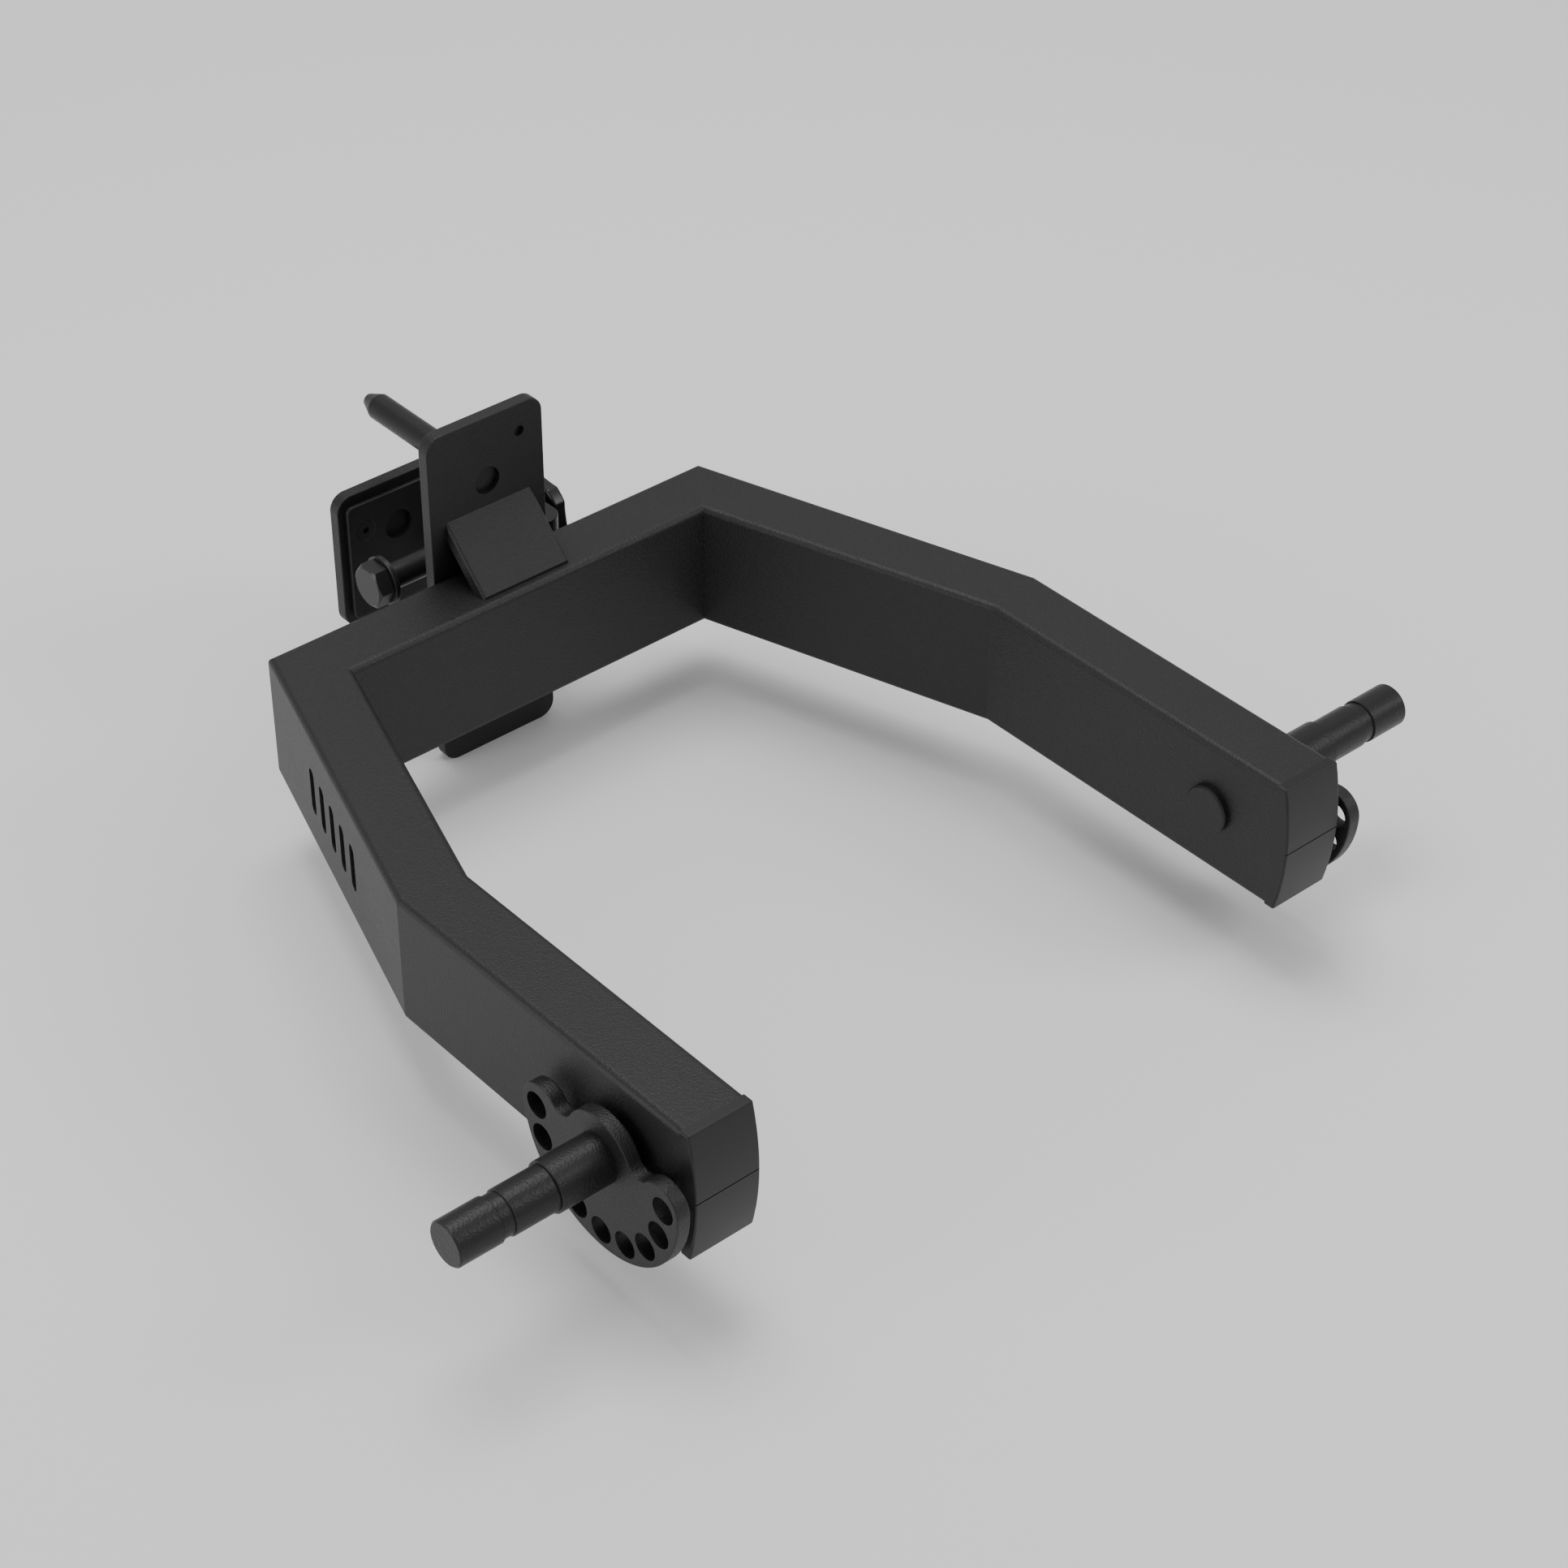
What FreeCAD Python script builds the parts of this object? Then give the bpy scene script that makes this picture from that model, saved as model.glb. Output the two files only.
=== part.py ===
"""Rack-mounted pivot yoke, in millimetres.

A welded horseshoe of rectangular tube hangs on a square rack upright by a steel pin. A hinged gate of
thick bar and plate swings round the back of the upright, and a cross bolt with a five-lobed knob
clamps it there. A stepped peg stands out of each arm, through a half-round plate of index holes.

The solids are drawn from a datum at the middle of the crossbar's back face, at its lower edge: +X to
the right, +Y towards the upright, +Z up. They are moved at the end, so that the part's own origin is
on the locating pin's axis, where the upright bears on the front liner.
"""

import FreeCAD, Part
import math
import os

V = FreeCAD.Vector
X = V(1, 0, 0)
Y = V(0, 1, 0)
Z = V(0, 0, 1)

# Rectangular tube of the yoke
TUBE_H = 80.0
TUBE_W = 40.0
TUBE_WALL = 3.0
TUBE_EDGE_R = 4.0
INNER_EDGE_R = 1.5
MITRE_SPREAD = 0.3

# How near an edge lies to the plane it is picked by, and how nearly two directions must agree
NEAR = 0.1
FLAT = 1e-6
ALIGNED = 0.999

# Plan of the yoke, at the outer faces of the tubes
CROSSBAR_HALF = 152.8
ARM_HALF = 222.2
BEND_Y = -214.8
TUBE_END_Y = -437.3

# Row of plain slots in the left angle tube
SLOT_COUNT = 5
SLOT_PITCH = 17.75
SLOT_W = 8.0
SLOT_H = 30.0
SLOT_MIDDLE = 0.485

# End caps
CAP_BAND = 6.0
CAP_CROWN = 5.2
CAP_EDGE_R = 1.2
CAP_SIDE_R = 1.5
CAP_PLUG_DEPTH = 22.0
CAP_PLUG_GAP = 0.3
CAP_PLUG_WALL = 2.5
CAP_SEAM = 0.7

# Pegs
PEG_Y = -393.0
PEG_Z = TUBE_H / 2
PEG_INNER_X = ARM_HALF - TUBE_W - 4.0
PEG_ROOT_D = 28.0
PEG_SEAT_D = 25.0
PEG_NECK_D = 23.0
PEG_ROOT_X = 268.0
PEG_SEAT_X = 294.0
PEG_NECK_X = 300.5
PEG_TIP_X = 326.5
PEG_CHAMFER = 1.0

# Index plates
INDEX_X = 228.0
INDEX_T = 8.0
INDEX_R = 59.0
INDEX_NECK_R = 25.0
INDEX_LOBE_R = 14.0
INDEX_FILLET_R = 8.0
INDEX_HOLES = 9
INDEX_HOLE_D = 15.0
INDEX_PITCH_R = 48.0
INDEX_EDGE_R = 0.8

# Mounting plate and its brace
PLATE_HALF = 40.0
PLATE_T = 8.0
PLATE_BOTTOM = -48.5
PLATE_TOP = 171.8
PLATE_CORNER_R = 10.0
PLATE_EDGE_R = 0.8
BRACE_HALF = 30.0
BRACE_T = 8.0
BRACE_TOP_Z = 114.7
BRACE_NOSE = 1.5
BRACE_EDGE_R = 2.0

# Locating pin
PIN_Z = 131.0
PIN_D = 16.0
PIN_SPIGOT_D = 17.0
PIN_RECESS = 3.5
PIN_CONE_Y = 103.0
PIN_TIP_Y = 113.0
PIN_TIP_D = 8.0

# Liners and their countersunk screws
LINER_T = 3.0
LINER_PIN_HOLE_D = 19.0
LINER_CORNER_R = 4.0
LINER_EDGE_R = 0.8
FRONT_LINER_HALF = 38.0
FRONT_LINER_BOTTOM = -46.0
FRONT_LINER_TOP = 169.5
FRONT_SCREWS = [(23.5, 154.1), (-23.5, 12.0)]
SCREW_HEAD_D = 12.6
SCREW_D = 6.5
SCREW_RING = 0.4
SCREW_FLUSH = 0.2
SCREW_LENGTH = 8.0
SOCKET_AF = 4.0
SOCKET_DEPTH = 2.2

# Clamp gate
GATE_GAP = 0.5
SIDE_T = 20.0
SIDE_X = PLATE_HALF + GATE_GAP
SIDE_BOTTOM = 6.0
SIDE_TOP = 78.0
REAR_Y = 94.5
REAR_T = 8.0
REAR_BOTTOM = -3.5
REAR_TOP = 86.5
REAR_CORNER_R = 10.0
REAR_LINER_HALF = 35.0
REAR_LINER_BOTTOM = 3.0
REAR_LINER_TOP = 80.0
REAR_OPENING_Z = 56.0
REAR_OPENING_D = 19.0
REAR_SCREWS = [(-23.0, 61.0), (23.0, 22.0)]

# Hinge of the gate
HINGE_X = SIDE_X + SIDE_T / 2
HINGE_Y = 19.5
HINGE_PIN_D = 10.0
HINGE_PIN_FIT = 0.06
HINGE_PIN_TOP = 68.0
HINGE_HEAD_D = 16.0
HINGE_HEAD_T = 3.5
HINGE_HEAD_GAP = 0.4
LUG_HALF = 9.5
LUG_BOTTOM = 28.0
LUG_TOP = 52.0
CLEVIS_GAP = 0.5
CLEVIS_BACK_R = 11.5

# Cross bolt, M16, and its washers
BOLT_Y = 49.0
BOLT_Z = 56.5
BOLT_D = 16.0
BOLT_HOLE_D = 17.0
BOLT_TIP_X = 78.0
HEAD_X = -53.0
HEAD_T = 10.0
HEAD_AF = 24.0
HEAD_FACE_INSET = 0.6
HEAD_BEVEL_SLOPE = 0.6
HEAD_RELIEF_D = 22.0
HEAD_RELIEF_T = 0.6
WASHER_D = 30.0
WASHER_BORE_D = 17.0
WASHER_EDGE_R = 0.4
BOLT_WASHER_T = 3.0
THRUST_WASHER_T = 2.5

# Five-lobed hand wheel and its threaded hub
KNOB_LOBES = 5
KNOB_R = 30.0
KNOB_VALLEY_R = 25.8
KNOB_LOBE_HALF_ANGLE = 10.0
KNOB_LOBE_TURN = 134.0
KNOB_LOBE_FILLET_R = 3.0
KNOB_X = 64.7
KNOB_T = 8.3
KNOB_EDGE_R = 1.6
KNOB_DISH_R = 20.0
KNOB_DISH_DEPTH = 1.5
HUB_D = 24.0
HUB_PROUD = 1.5
HUB_BORE_D = 16.1

ORIGIN = V(0, PLATE_T + LINER_T, PIN_Z)


def block(x0, x1, y0, y1, z0, z1):
    return Part.makeBox(x1 - x0, y1 - y0, z1 - z0, V(x0, y0, z0))


def rod(diameter, start, direction, length):
    return Part.makeCylinder(diameter / 2, length, start, direction)


def edges_along(shape, direction):
    """The straight edges of a shape that run along a direction."""
    found = []
    for edge in shape.Edges:
        if isinstance(edge.Curve, Part.Line) and abs(edge.Curve.Direction.dot(direction)) > ALIGNED:
            found.append(edge)
    return found


def face_edges(shape, normal):
    """The outline edges of the plane faces at both ends of a shape along a normal."""
    spots = [v.Point.dot(normal) for v in shape.Vertexes]
    found = []
    for edge in shape.Edges:
        heights = [v.Point.dot(normal) for v in edge.Vertexes]
        level = max(heights) - min(heights) < FLAT
        if level and min(abs(heights[0] - min(spots)), abs(heights[0] - max(spots))) < FLAT:
            found.append(edge)
    return found


def extruded(points, direction):
    """A prism on a closed outline of straight sides."""
    return Part.Face(Part.makePolygon(points + points[:1])).extrude(direction)


def turned(points, axis):
    """A solid of revolution about an axis through the datum."""
    return Part.Face(Part.makePolygon(points + points[:1])).revolve(V(0, 0, 0), axis, 360)


def plate(x0, x1, y0, y1, z0, z1, corner_r, edge_r):
    """A flat plate standing across Y, with rounded corners and softly rounded edges."""
    solid = block(x0, x1, y0, y1, z0, z1)
    solid = solid.makeFillet(corner_r, edges_along(solid, Y))
    return solid.makeFillet(edge_r, face_edges(solid, Y))


def mirrored(shape):
    return shape.mirror(V(0, 0, 0), X)


def corner_points():
    """Outer and inner corners of the yoke's right half in plan, from the middle to the arm's end."""
    outer = [V(0, 0, 0), V(CROSSBAR_HALF, 0, 0), V(ARM_HALF, BEND_Y, 0), V(ARM_HALF, TUBE_END_Y, 0)]
    runs = [(b - a).normalize() for a, b in zip(outer, outer[1:])]
    inward = [V(r.y, -r.x, 0) for r in runs]
    inner = [outer[0] + inward[0] * TUBE_W]
    for k in (0, 1):
        turn = inward[k] + inward[k + 1]
        inner.append(outer[k + 1] + turn * (TUBE_W / (1 + inward[k].dot(inward[k + 1]))))
    inner.append(outer[3] + inward[2] * TUBE_W)
    return outer, inner


def tube_profile(length):
    """A straight hollow tube along +X, with its outer face on the XZ plane."""
    outside = block(0, length, -TUBE_W, 0, 0, TUBE_H)
    outside = outside.makeFillet(TUBE_EDGE_R, edges_along(outside, X))
    inside = block(0, length, TUBE_WALL - TUBE_W, -TUBE_WALL, TUBE_WALL, TUBE_H - TUBE_WALL)
    inside = inside.makeFillet(INNER_EDGE_R, edges_along(inside, X))
    return outside.cut(inside)


def mitred_tube(outer_a, outer_b, inner_a, inner_b):
    """A hollow tube whose outer face runs from outer_a to outer_b, cut at each end along its mitre.

    The cutting outline spreads past both faces of the tube, so that only its mitred ends cut.
    """
    along = (outer_b - outer_a).normalize()
    tube = tube_profile((outer_b - outer_a).Length + 2 * TUBE_H)
    tube.rotate(V(0, 0, 0), Z, math.degrees(math.atan2(along.y, along.x)))
    tube.translate(outer_a - along * TUBE_H)
    spread_a = (outer_a - inner_a) * MITRE_SPREAD
    spread_b = (outer_b - inner_b) * MITRE_SPREAD
    plan = [outer_a + spread_a, outer_b + spread_b, inner_b - spread_b, inner_a - spread_a]
    return tube.common(extruded(plan, Z * TUBE_H))


def crossbar(outer, inner):
    left_outer = V(-outer[1].x, outer[1].y, 0)
    left_inner = V(-inner[1].x, inner[1].y, 0)
    return mitred_tube(left_outer, outer[1], left_inner, inner[1])


def slot_cutter(spot, along):
    """An upright slot with round ends, through the outer wall at a spot on the tube's outer face."""
    inward = V(along.y, -along.x, 0)
    half = (SLOT_H - SLOT_W) / 2
    depth = 3 * TUBE_WALL
    base = spot + inward * (depth / 2) + Z * (TUBE_H / 2)
    corners = [base - along * (SLOT_W / 2) - Z * half, base + along * (SLOT_W / 2) - Z * half,
               base + along * (SLOT_W / 2) + Z * half, base - along * (SLOT_W / 2) + Z * half]
    ends = [rod(SLOT_W, base + Z * dz, inward * -1, depth) for dz in (-half, half)]
    return extruded(corners, inward * -depth).fuse(ends)


def slotted(tube, outer_a, outer_b):
    """Cuts the row of plain slots along the middle height of a tube's outer wall."""
    along = (outer_b - outer_a).normalize()
    middle = outer_a + (outer_b - outer_a) * SLOT_MIDDLE
    for k in range(SLOT_COUNT):
        spot = middle + along * (SLOT_PITCH * (k - (SLOT_COUNT - 1) / 2))
        tube = tube.cut(slot_cutter(spot, along))
    return tube


def arm_tube(outer, inner):
    tube = mitred_tube(outer[2], outer[3], inner[2], inner[3])
    square_end = block(0, PEG_TIP_X, TUBE_END_Y, 0, 0, TUBE_H)
    return tube.common(square_end).cut(rod(PEG_ROOT_D, V(0, PEG_Y, PEG_Z), X, PEG_TIP_X))


def cap_head():
    """The visible part of an end cap: a band in line with the tube, then a crowned face."""
    x0 = ARM_HALF - TUBE_W
    rim_y = TUBE_END_Y - CAP_BAND
    crown_y = rim_y - CAP_CROWN
    middle = TUBE_H / 2
    front = Part.Arc(V(x0, rim_y, 0), V(x0, crown_y, middle), V(x0, rim_y, TUBE_H)).toShape()
    sides = [V(x0, rim_y, TUBE_H), V(x0, TUBE_END_Y, TUBE_H), V(x0, TUBE_END_Y, 0), V(x0, rim_y, 0)]
    outline = Part.Wire([front] + Part.makePolygon(sides).Edges)
    head = Part.Face(outline).extrude(X * TUBE_W)
    head = head.makeFillet(CAP_SIDE_R, edges_along(head, Y))
    front_edges = [e for e in head.Edges if e.BoundBox.YMax < TUBE_END_Y - CAP_BAND / 2]
    head = head.makeFillet(CAP_EDGE_R, front_edges)
    groove = block(x0, ARM_HALF, crown_y, crown_y + CAP_SEAM, middle - CAP_SEAM / 2, middle + CAP_SEAM / 2)
    return head.cut(groove)


def end_cap():
    """A moulded cap: the head outside the tube and a hollow plug inside it."""
    inset = TUBE_WALL + CAP_PLUG_GAP
    x0 = ARM_HALF - TUBE_W + inset
    x1 = ARM_HALF - inset
    back = TUBE_END_Y + CAP_PLUG_DEPTH
    plug = block(x0, x1, TUBE_END_Y, back, inset, TUBE_H - inset)
    plug = plug.makeFillet(INNER_EDGE_R, edges_along(plug, Y))
    wall = CAP_PLUG_WALL
    hollow = block(x0 + wall, x1 - wall, TUBE_END_Y - wall, back, inset + wall, TUBE_H - inset - wall)
    return cap_head().fuse(plug).cut(hollow).removeSplitter()


def peg_shaft():
    """A stepped shaft: root through the arm and the index plate, seat, neck and end."""
    c = PEG_CHAMFER
    root, seat, neck = PEG_ROOT_D / 2, PEG_SEAT_D / 2, PEG_NECK_D / 2
    profile = [
        V(PEG_INNER_X, 0, 0),
        V(PEG_INNER_X, root - c, 0),
        V(PEG_INNER_X + c, root, 0),
        V(PEG_ROOT_X - c / 2, root, 0),
        V(PEG_ROOT_X, root - c / 2, 0),
        V(PEG_ROOT_X, seat, 0),
        V(PEG_SEAT_X - c / 2, seat, 0),
        V(PEG_SEAT_X, seat - c / 2, 0),
        V(PEG_SEAT_X, neck, 0),
        V(PEG_NECK_X, neck, 0),
        V(PEG_NECK_X, seat - c / 2, 0),
        V(PEG_NECK_X + c / 2, seat, 0),
        V(PEG_TIP_X - c, seat, 0),
        V(PEG_TIP_X, seat - c, 0),
        V(PEG_TIP_X, 0, 0),
    ]
    peg = turned(profile, X)
    peg.translate(V(0, PEG_Y, PEG_Z))
    return peg


def index_outline():
    """Two lobes, a round neck over the peg and a half-round lower edge, every arc tangent to the next."""
    lobe = V(0, INDEX_R - INDEX_LOBE_R, 0)
    to_lobe = INDEX_LOBE_R + INDEX_FILLET_R
    to_neck = INDEX_NECK_R + INDEX_FILLET_R
    across = (to_neck ** 2 - to_lobe ** 2 + lobe.y ** 2) / (2 * lobe.y)
    fillet = V(0, across, math.sqrt(to_neck ** 2 - across ** 2))
    on_neck = fillet * (INDEX_NECK_R / to_neck)
    on_lobe = lobe + (fillet - lobe) * (INDEX_LOBE_R / to_lobe)
    on_fillet = fillet - Z * INDEX_FILLET_R
    lobe_top = lobe + V(0, 1, 1).normalize() * INDEX_LOBE_R
    tip = V(0, INDEX_R, 0)

    def flip(p):
        return V(p.x, -p.y, p.z)

    arcs = [
        Part.Arc(flip(on_neck), V(0, 0, INDEX_NECK_R), on_neck),
        Part.Arc(on_neck, on_fillet, on_lobe),
        Part.Arc(on_lobe, lobe_top, tip),
        Part.Arc(tip, V(0, 0, -INDEX_R), flip(tip)),
        Part.Arc(flip(tip), flip(lobe_top), flip(on_lobe)),
        Part.Arc(flip(on_lobe), flip(on_fillet), flip(on_neck)),
    ]
    return Part.Wire([a.toShape() for a in arcs])


def index_plate():
    """A half-round plate on the peg, with index holes at equal steps through its lower half."""
    solid = Part.Face(index_outline()).extrude(X * INDEX_T)
    solid = solid.makeFillet(INDEX_EDGE_R, face_edges(solid, X))
    for k in range(INDEX_HOLES):
        angle = math.pi * (1 + k / (INDEX_HOLES - 1))
        spot = V(0, math.cos(angle), math.sin(angle)) * INDEX_PITCH_R
        solid = solid.cut(rod(INDEX_HOLE_D, spot, X, INDEX_T))
    solid = solid.cut(rod(PEG_ROOT_D, V(0, 0, 0), X, INDEX_T))
    solid.translate(V(INDEX_X, PEG_Y, PEG_Z))
    return solid


def mounting_plate():
    solid = plate(-PLATE_HALF, PLATE_HALF, 0, PLATE_T, PLATE_BOTTOM, PLATE_TOP, PLATE_CORNER_R, PLATE_EDGE_R)
    solid = solid.cut(rod(PIN_SPIGOT_D, V(0, 0, PIN_Z), Y, PLATE_T))
    for x, z in FRONT_SCREWS:
        solid = solid.cut(rod(SCREW_D, V(x, 0, z), Y, PLATE_T))
    return solid


def brace_plate():
    """A flat bar at 45 degrees from the mounting plate down to the crossbar's top."""
    reach = BRACE_TOP_Z - TUBE_H - BRACE_NOSE
    rise = BRACE_T * math.sqrt(2)
    outline = [
        V(-BRACE_HALF, 0, BRACE_TOP_Z),
        V(-BRACE_HALF, -reach, TUBE_H + BRACE_NOSE),
        V(-BRACE_HALF, -reach, TUBE_H),
        V(-BRACE_HALF, rise - reach - BRACE_NOSE, TUBE_H),
        V(-BRACE_HALF, 0, BRACE_TOP_Z - rise),
    ]
    bar = extruded(outline, X * (2 * BRACE_HALF))
    sloping = edges_along(bar, V(0, 1, 1).normalize())
    upper = [e for e in sloping if e.BoundBox.ZMax > BRACE_TOP_Z - NEAR]
    return bar.makeFillet(BRACE_EDGE_R, upper)


def locating_pin():
    """A pin welded in the mounting plate: spigot, shaft and coned end."""
    profile = [
        V(0, PIN_RECESS, 0),
        V(PIN_SPIGOT_D / 2, PIN_RECESS, 0),
        V(PIN_SPIGOT_D / 2, PLATE_T, 0),
        V(PIN_D / 2, PLATE_T, 0),
        V(PIN_D / 2, PIN_CONE_Y, 0),
        V(PIN_TIP_D / 2, PIN_TIP_Y, 0),
        V(0, PIN_TIP_Y, 0),
    ]
    pin = turned(profile, Y)
    pin.translate(Z * PIN_Z)
    return pin


def hexagon(across_flats):
    """Corners of a hexagon across Y, with two of them on X."""
    radius = across_flats / math.sqrt(3)
    return [V(math.cos(k * math.pi / 3), 0, math.sin(k * math.pi / 3)) * radius for k in range(6)]


def countersunk_screw(x, y, z, side):
    """A screw whose head sits just under the surface at y, with its shank going the way of side."""
    taper = (SCREW_HEAD_D - SCREW_D) / 2
    profile = [
        V(0, SCREW_FLUSH, 0),
        V(SCREW_HEAD_D / 2 - SCREW_FLUSH, SCREW_FLUSH, 0),
        V(SCREW_D / 2, taper, 0),
        V(SCREW_D / 2, SCREW_LENGTH, 0),
        V(0, SCREW_LENGTH, 0),
    ]
    screw = turned(profile, Y).cut(extruded(hexagon(SOCKET_AF), Y * (SOCKET_DEPTH + SCREW_FLUSH)))
    if side < 0:
        screw = screw.mirror(V(0, 0, 0), Y)
    screw.translate(V(x, y, z))
    return screw


def countersink(x, y, z, side):
    """The cone, with a clear ring round the screw's head, that a liner is cut with."""
    wide = SCREW_HEAD_D / 2 + SCREW_RING
    return Part.makeCone(wide, SCREW_D / 2, LINER_T, V(x, y, z), Y * side)


def screws(spots, y, side):
    return Part.Compound([countersunk_screw(x, y, z, side) for x, z in spots])


def front_liner():
    face_y = PLATE_T + LINER_T
    solid = plate(-FRONT_LINER_HALF, FRONT_LINER_HALF, PLATE_T, face_y, FRONT_LINER_BOTTOM,
                  FRONT_LINER_TOP, PLATE_CORNER_R, LINER_EDGE_R)
    solid = solid.cut(rod(LINER_PIN_HOLE_D, V(0, PLATE_T, PIN_Z), Y, LINER_T))
    for x, z in FRONT_SCREWS:
        solid = solid.cut(countersink(x, face_y, z, -1))
    return solid


def hinge_lug():
    """A lug on the crossbar's back face, round at its end, bored for the hinge pin."""
    solid = block(HINGE_X - LUG_HALF, HINGE_X + LUG_HALF, 0, HINGE_Y, LUG_BOTTOM, LUG_TOP)
    solid = solid.fuse(rod(2 * LUG_HALF, V(HINGE_X, HINGE_Y, LUG_BOTTOM), Z, LUG_TOP - LUG_BOTTOM))
    bore = rod(HINGE_PIN_D, V(HINGE_X, HINGE_Y, LUG_BOTTOM), Z, LUG_TOP - LUG_BOTTOM)
    return solid.removeSplitter().cut(bore)


def hinge_pin():
    """A headed pin, put in from below through the side arm's lower jaw and the lug."""
    head_top = SIDE_BOTTOM - HINGE_HEAD_GAP
    head = rod(HINGE_HEAD_D, V(HINGE_X, HINGE_Y, head_top - HINGE_HEAD_T), Z, HINGE_HEAD_T)
    head = head.makeChamfer(PLATE_EDGE_R, [e for e in head.Edges if e.BoundBox.ZMax < head_top - NEAR])
    shank = rod(HINGE_PIN_D, V(HINGE_X, HINGE_Y, head_top), Z, HINGE_PIN_TOP - head_top)
    return head.fuse(shank).removeSplitter()


def side_arm():
    """A thick bar beside the upright, round about the hinge, with a slot that straddles the lug."""
    x1 = SIDE_X + SIDE_T
    height = SIDE_TOP - SIDE_BOTTOM
    solid = block(SIDE_X, x1, HINGE_Y, REAR_Y, SIDE_BOTTOM, SIDE_TOP)
    solid = solid.fuse(rod(SIDE_T, V(HINGE_X, HINGE_Y, SIDE_BOTTOM), Z, height)).removeSplitter()
    long_edges = [e for e in face_edges(solid, Z) if e.BoundBox.YMin < REAR_Y - NEAR]
    solid = solid.makeFillet(PLATE_EDGE_R, long_edges)
    slot_back = HINGE_Y + CLEVIS_BACK_R
    solid = solid.cut(block(SIDE_X, x1, 0, slot_back, LUG_BOTTOM - CLEVIS_GAP, LUG_TOP + CLEVIS_GAP))
    bore_d = HINGE_PIN_D + 2 * HINGE_PIN_FIT
    bore_top = HINGE_PIN_TOP + CLEVIS_GAP
    solid = solid.cut(rod(bore_d, V(HINGE_X, HINGE_Y, SIDE_BOTTOM), Z, bore_top - SIDE_BOTTOM))
    return solid.cut(rod(BOLT_HOLE_D, V(SIDE_X, BOLT_Y, BOLT_Z), X, SIDE_T))


def rear_plate():
    x1 = SIDE_X + SIDE_T
    solid = plate(-PLATE_HALF, x1, REAR_Y, REAR_Y + REAR_T, REAR_BOTTOM, REAR_TOP,
                  REAR_CORNER_R, PLATE_EDGE_R)
    for x, z in REAR_SCREWS:
        solid = solid.cut(rod(SCREW_D, V(x, REAR_Y, z), Y, REAR_T))
    return solid


def rear_liner():
    """The gate's liner, with a round opening that shows the plate behind it."""
    face_y = REAR_Y - LINER_T
    solid = plate(-REAR_LINER_HALF, REAR_LINER_HALF, face_y, REAR_Y, REAR_LINER_BOTTOM, REAR_LINER_TOP,
                  LINER_CORNER_R, LINER_EDGE_R)
    solid = solid.cut(rod(REAR_OPENING_D, V(0, face_y, REAR_OPENING_Z), Y, LINER_T))
    for x, z in REAR_SCREWS:
        solid = solid.cut(countersink(x, face_y, z, 1))
    return solid


def cross_bolt():
    """A hexagon-head bolt along X, its outer corners turned off, on a thin round bearing face."""
    corners = [V(0, p.x, p.z) for p in hexagon(HEAD_AF)]
    corner_r = corners[0].Length
    face_r = HEAD_AF / 2 - HEAD_FACE_INSET
    bevel = (corner_r - face_r) * HEAD_BEVEL_SLOPE
    turning = Part.makeCone(face_r, corner_r, bevel, V(0, 0, 0), X)
    turning = turning.fuse(rod(2 * corner_r, X * bevel, X, HEAD_T))
    head = extruded(corners, X * (HEAD_T - HEAD_RELIEF_T)).common(turning)
    relief = rod(HEAD_RELIEF_D, X * (HEAD_T - HEAD_RELIEF_T), X, HEAD_RELIEF_T)
    length = BOLT_TIP_X - HEAD_X
    shank = rod(BOLT_D, X * HEAD_T, X, length - HEAD_T)
    shank = shank.makeChamfer(PEG_CHAMFER, [e for e in shank.Edges if e.BoundBox.XMin > length - NEAR])
    bolt = head.fuse([relief, shank]).removeSplitter()
    bolt.translate(V(HEAD_X, BOLT_Y, BOLT_Z))
    return bolt


def washer(x, thickness, bore_d):
    start = V(x, BOLT_Y, BOLT_Z)
    ring = rod(WASHER_D, start, X, thickness)
    ring = ring.makeFillet(WASHER_EDGE_R, face_edges(ring, X))
    return ring.cut(rod(bore_d, start, X, thickness))


def knob_outline():
    """Lobes with round tips, joined by wide shallow hollows."""
    step = 360 / KNOB_LOBES

    def spot(radius, degrees):
        angle = math.radians(degrees)
        return V(0, math.cos(angle), math.sin(angle)) * radius

    arcs = []
    for k in range(KNOB_LOBES):
        tip = KNOB_LOBE_TURN + k * step
        start = spot(KNOB_R, tip - KNOB_LOBE_HALF_ANGLE)
        end = spot(KNOB_R, tip + KNOB_LOBE_HALF_ANGLE)
        following = spot(KNOB_R, tip + step - KNOB_LOBE_HALF_ANGLE)
        arcs.append(Part.Arc(start, spot(KNOB_R, tip), end).toShape())
        arcs.append(Part.Arc(end, spot(KNOB_VALLEY_R, tip + step / 2), following).toShape())
    return Part.Wire(arcs)


def knob_wheel():
    wheel = Part.Face(knob_outline()).extrude(X * KNOB_T)
    wheel = wheel.makeFillet(KNOB_LOBE_FILLET_R, edges_along(wheel, X))
    wheel = wheel.makeFillet(KNOB_EDGE_R, face_edges(wheel, X))
    dish = rod(2 * KNOB_DISH_R, X * (KNOB_T - KNOB_DISH_DEPTH), X, KNOB_T)
    wheel = wheel.cut(dish).cut(rod(HUB_D, V(0, 0, 0), X, KNOB_T))
    wheel.translate(V(KNOB_X, BOLT_Y, BOLT_Z))
    return wheel


def knob_hub():
    """The threaded steel hub that the wheel is moulded on."""
    x0 = SIDE_X + SIDE_T + THRUST_WASHER_T
    length = KNOB_X + KNOB_T + HUB_PROUD - x0
    start = V(x0, BOLT_Y, BOLT_Z)
    hub = rod(HUB_D, start, X, length)
    hub = hub.makeChamfer(PLATE_EDGE_R, [e for e in hub.Edges if e.BoundBox.XMin > x0 + length - NEAR])
    return hub.cut(rod(HUB_BORE_D, start, X, length))


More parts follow.
